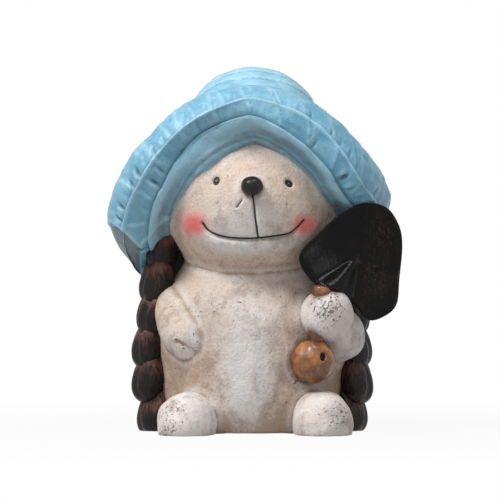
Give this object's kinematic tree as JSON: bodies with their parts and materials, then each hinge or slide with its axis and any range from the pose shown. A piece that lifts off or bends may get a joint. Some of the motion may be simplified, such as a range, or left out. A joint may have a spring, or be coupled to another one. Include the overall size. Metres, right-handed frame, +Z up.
{
  "type": "hedgehog figurine",
  "caption": "Standing painted terracotta hedgehog garden ornament in a plaited sun hat, holding a small trowel upright against its cheek.",
  "frame": {"origin": "centre of the flat base, on the surface that the figure stands on", "axes": "+Z up to the hat's crown, -Y the way the face looks, +X to the viewer's right"},
  "size_m": [0.1216, 0.0988, 0.15],
  "materials": {
    "cream_slip": "antiqued matt cold paint on fired clay",
    "quill_paint": "satin dark brown paint, dry-brushed",
    "hat_paint": "satin light blue paint",
    "blade_paint": "gloss black paint",
    "handle_paint": "glossy tan paint",
    "nose_paint": "gloss black paint"
  },
  "bodies": {
    "root": {"belly_shell": "cream_slip", "quill_coat": "quill_paint", "head": "cream_slip", "nose": "nose_paint", "hat_brim": "hat_paint", "hat_crown": "hat_paint", "right_arm": "cream_slip", "left_arm": "cream_slip", "right_foot": "cream_slip", "left_foot": "cream_slip", "trowel_blade": "blade_paint", "trowel_handle": "handle_paint", "trowel_knob": "handle_paint", "quill_row_1": "quill_paint", "quill_row_2": "quill_paint", "quill_row_3": "quill_paint", "quill_row_4": "quill_paint", "quill_row_5": "quill_paint", "quill_row_6": "quill_paint"}
  },
  "joints": []
}
